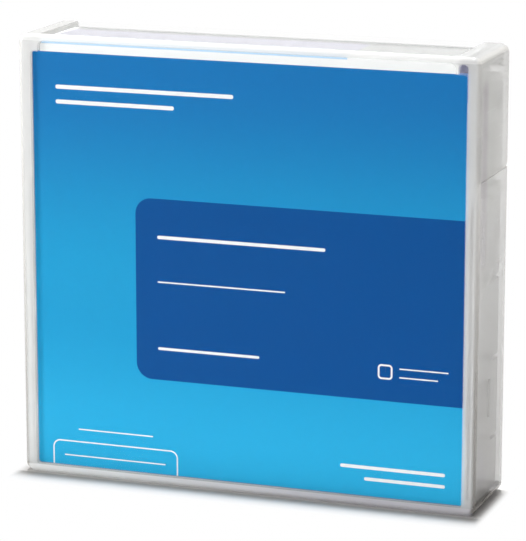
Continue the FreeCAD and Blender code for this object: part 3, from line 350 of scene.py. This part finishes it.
def metal(name):
    look = metals[name]
    g = Graph(name)
    where = g.place()
    fine = g.noise(where, metalWear["fine"], detail=4.0)
    broad = g.noise(where, metalWear["broad"], detail=4.0)
    return g.finish(g.principled(Base_Color=g.blend(broad.spread(), look["base"], look["shade"]), Metallic=1.0,
                                 Roughness=fine.spread(look["rough"] - metalWear["smoother"],
                                                       look["rough"] + metalWear["rougher"]),
                                 Normal=g.bump(fine, metalWear["depth"])))


# The reel's axis runs along y through x 0 at this height. Film and plate vary with the radius.
reel = {"axisHeight": 53.0, "film": srgb(46, 38, 35), "filmEdge": srgb(30, 26, 25), "filmShow": (0.35, 0.65),
        "filmRough": (0.21, 0.39), "filmDepth": 0.00002, "winding": 1.7, "layers": 9.0, "layerHeight": 0.3,
        "plate": srgb(204, 205, 207), "plateShade": srgb(176, 178, 182), "plateRough": (0.20, 0.38),
        "plateDepth": 0.000008, "plateEdge": 0.00015, "turning": 6.0, "drift": 0.05}


def tapeFilm():
    g = Graph("tapeFilm")
    x, y, z = (axis / mm for axis in g.axes(g.place()))
    radius = span(x, z - reel["axisHeight"])
    winding = g.noise(g.join(radius, 0.0, 0.0), reel["winding"], detail=6.0, roughness=0.8)
    layers = g.noise(g.join(radius * reel["layers"], 0.0, 0.0), 1.0)
    colour = g.blend(winding.ramp(*reel["filmShow"]), reel["film"], reel["filmEdge"])
    return g.finish(g.principled(Base_Color=colour, Roughness=winding.spread(*reel["filmRough"]),
                                 Normal=g.bump(winding + layers * reel["layerHeight"], reel["filmDepth"])))


def drivePlate():
    g = Graph("drivePlate")
    x, y, z = (axis / mm for axis in g.axes(g.place()))
    up = z - reel["axisHeight"]
    rings = g.join(span(x, up) * reel["turning"], x * reel["drift"], up * reel["drift"])
    turned = g.noise(rings, 1.0, detail=5.0, roughness=0.7)
    return g.finish(g.principled(Base_Color=g.blend(turned.spread(), reel["plate"], reel["plateShade"]),
                                 Metallic=1.0, Roughness=turned.spread(*reel["plateRough"]),
                                 Normal=g.bump(turned, reel["plateDepth"], reel["plateEdge"])))


# a bare label: a fine frame, a pale band and two write-on lines
label = {"paper": srgb(238, 238, 234), "ink": srgb(120, 124, 130), "inkShow": 0.8, "band": srgb(176, 204, 226),
         "frame": (-47.6, 25.8, -6.7, 6.7, 0.8), "bandEnd": (-33.95, -34.05), "lines": (-3.0, 1.0),
         "lineLeft": -30.0, "lineRight": 22.0, "line": 0.18, "soft": 0.05,
         "grain": 1500.0, "rough": (0.58, 0.74), "depth": 0.00001}


def labelPaper():
    g = Graph("labelPaper")
    where = g.place()
    x, y, z = (axis / mm for axis in g.axes(where))
    soft, half = label["soft"], label["line"]
    edge = roundedBox(x, y, *label["frame"])
    colour = g.blend(inside(edge, soft) * x.ramp(*label["bandEnd"]), label["paper"], label["band"])
    marks = inside(abs(edge) - half, soft)
    for height in label["lines"]:
        line = roundedBox(x, y, label["lineLeft"], label["lineRight"], height - half, height + half, soft)
        marks = marks.most(inside(line, soft))
    grain = g.noise(where, label["grain"], detail=4.0)
    return g.finish(g.principled(Base_Color=g.blend(marks * label["inkShow"], colour, label["ink"]),
                                 Roughness=grain.spread(*label["rough"]),
                                 Normal=g.bump(grain, label["depth"])))


# The board leans by 45 degrees; its loop runs along x and up the slope.
chip = {"board": srgb(28, 90, 64), "shade": srgb(22, 78, 54), "copper": srgb(176, 118, 66), "die": srgb(24, 24, 26),
        "left": -46.6, "right": -29.2, "slopeCentre": 73.83, "halfRise": 4.9, "corner": 1.2,
        "turns": 3, "step": 0.62, "track": 0.16, "trackSoft": 0.04, "dieHalf": 1.5, "dieCorner": 0.3,
        "dieSoft": 0.06, "copperMetal": 0.9, "grain": 1200.0, "rough": (0.3, 0.42), "depth": 0.00002,
        "grainHeight": 0.1, "copperHeight": 0.6, "dieHeight": 2.0}


def chipBoard():
    g = Graph("chipBoard")
    where = g.place()
    x, y, z = (axis / mm for axis in g.axes(where))
    rise = (y + z) * math.cos(math.radians(45))
    middle, centre = (chip["left"] + chip["right"]) / 2, chip["slopeCentre"]
    edge = roundedBox(x, rise, chip["left"], chip["right"], centre - chip["halfRise"], centre + chip["halfRise"],
                      chip["corner"])
    copper = inside(abs(edge) - chip["track"], chip["trackSoft"])
    for turn in range(1, chip["turns"]):
        copper = copper.most(inside(abs(edge + turn * chip["step"]) - chip["track"], chip["trackSoft"]))
    half = chip["dieHalf"]
    die = inside(roundedBox(x, rise, middle - half, middle + half, centre - half, centre + half,
                            chip["dieCorner"]), chip["dieSoft"])
    grain = g.noise(where, chip["grain"], detail=4.0)
    colour = g.blend(grain.spread(), chip["board"], chip["shade"])
    colour = g.blend(die, g.blend(copper, colour, chip["copper"]), chip["die"])
    height = grain * chip["grainHeight"] + copper * chip["copperHeight"] + die * chip["dieHeight"]
    return g.finish(g.principled(Base_Color=colour, Metallic=copper * chip["copperMetal"],
                                 Roughness=grain.spread(*chip["rough"]), Normal=g.bump(height, chip["depth"])))


milky = casePlastic()
paint("case_lid", milky)
paint("case_tray", milky)
print("case painted")

film = tapeFilm()
paint("tape_pack", film)
paint("tape_leader", film)
paint("inlay_card", cardPrint())
paint("rear_label", labelPaper())
paint("reel_plate", drivePlate())
paint("memory_chip", chipBoard())
print("printed and special pieces painted")

for looks, finish in ((plastics, plastic), (metals, metal)):
    for name, look in looks.items():
        material = finish(name)
        for node in look["pieces"]:
            paint(node, material)
print("plastics and metals painted")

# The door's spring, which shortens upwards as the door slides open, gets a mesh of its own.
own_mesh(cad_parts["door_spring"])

# lamps: power, place and size; the floor and all that follows it in metres
lamps = {"key": (8.1, (-0.90, -0.76, 0.19), 0.3), "fill": (0.20, (1.2, -0.9, 0.6), 0.6),
         "top": (22.0, (-0.03, 0.08, 1.35), 0.20)}
lampAim = Vector((0, 0, 0.05))


def lamp(name, power, position, size):
    light = bpy.data.lights.new(name, "AREA")
    light.energy = power
    light.size = size
    holder = bpy.data.objects.new(name, light)
    holder.location = position
    holder.rotation_euler = (lampAim - Vector(position)).to_track_quat("-Z", "Y").to_euler()
    bpy.context.collection.objects.link(holder)


# The floor glows white to the camera, except close to the case, where it takes its shadow; there it also carries a
# painted shadow, a darker field that is darkest in front of the case.
# painted shadow: darker floor colours in front of the case and at its sides, fading out over a few mm
floor = {"size": 6.0, "colour": srgb(235, 235, 235), "before": srgb(176, 174, 171), "beside": srgb(234, 233, 231),
         "footprint": (-0.0576, 0.0576, -0.0123, 0.0123, 0.001), "frontEdge": (-0.0118, -0.0130),
         "paintedShadowTo": 0.006, "glowFrom": (0.001, 0.009), "glowBeside": (0.0578, 0.0604),
         "grain": 300.0, "rough": (0.85, 0.95)}


def floorLook():
    g = Graph("paleFloor")
    where = g.place()
    x, y, z = g.axes(where)
    away = roundedBox(x, y, *floor["footprint"])
    # painted shadow: the floor darker close to the case, most in front of it
    paintedShadow = g.blend(y.ramp(*floor["frontEdge"]), floor["beside"], floor["before"])
    colour = g.blend(away.ramp(0.0, floor["paintedShadowTo"]), paintedShadow, floor["colour"])
    cloth = g.principled(Base_Color=colour,
                         Roughness=g.noise(where, floor["grain"], detail=2.0).spread(*floor["rough"]))
    ray = g.node("ShaderNodeLightPath", {}, {}, "Is Camera Ray")
    glow = g.node("ShaderNodeEmission", {}, {"Color": (1.0, 1.0, 1.0, 1.0), "Strength": 1.0})
    bright = away.ramp(*floor["glowFrom"]).most(abs(x).ramp(*floor["glowBeside"]))
    return g.finish(g.node("ShaderNodeMixShader", {}, {0: bright * ray, 1: cloth, 2: glow}))


def buildFloor():
    mesh = bpy.data.meshes.new("floor")
    shape = bmesh.new()
    bmesh.ops.create_grid(shape, x_segments=2, y_segments=2, size=floor["size"])
    shape.to_mesh(mesh)
    shape.free()
    plane = bpy.data.objects.new("floor", mesh)
    bpy.context.collection.objects.link(plane)
    mesh.materials.append(floorLook())


# The camera sees a white world; the object gets this much light from it.
worldLight = 0.22


def buildWorld():
    world = bpy.data.worlds.new("studio")
    world.use_nodes = True
    tree = world.node_tree
    tree.nodes.clear()
    path = tree.nodes.new("ShaderNodeLightPath")
    soft = tree.nodes.new("ShaderNodeBackground")
    white = tree.nodes.new("ShaderNodeBackground")
    for background, strength in ((soft, worldLight), (white, 1.0)):
        background.inputs["Color"].default_value = (1, 1, 1, 1)
        background.inputs["Strength"].default_value = strength
    mix = tree.nodes.new("ShaderNodeMixShader")
    result = tree.nodes.new("ShaderNodeOutputWorld")
    tree.links.new(path.outputs["Is Camera Ray"], mix.inputs[0])
    tree.links.new(soft.outputs[0], mix.inputs[1])
    tree.links.new(white.outputs[0], mix.inputs[2])
    tree.links.new(mix.outputs[0], result.inputs[0])
    bpy.context.scene.world = world


# angles in degrees, the rest in metres, the lens in mm
eye = {"azimuth": 19.861, "elevation": 12.877, "distance": 0.702, "target": (0.004897, -0.0123, 0.05572),
       "lens": 197.43, "sensor": 36.0, "nearest": 0.01}


def buildCamera():
    data = bpy.data.cameras.new("camera")
    data.sensor_width = eye["sensor"]
    data.lens = eye["lens"]
    data.clip_start = eye["nearest"]
    camera = bpy.data.objects.new("camera", data)
    azimuth, elevation = math.radians(eye["azimuth"]), math.radians(eye["elevation"])
    back = Vector((math.sin(azimuth) * math.cos(elevation), -math.cos(azimuth) * math.cos(elevation),
                   math.sin(elevation)))
    camera.location = Vector(eye["target"]) + back * eye["distance"]
    camera.rotation_euler = (-back).to_track_quat("-Z", "Y").to_euler()
    bpy.context.collection.objects.link(camera)
    bpy.context.scene.camera = camera


for name, values in lamps.items():
    lamp(name, *values)
buildFloor()
buildWorld()
buildCamera()
bpy.context.scene.view_settings.view_transform = "Standard"
print("studio ready")
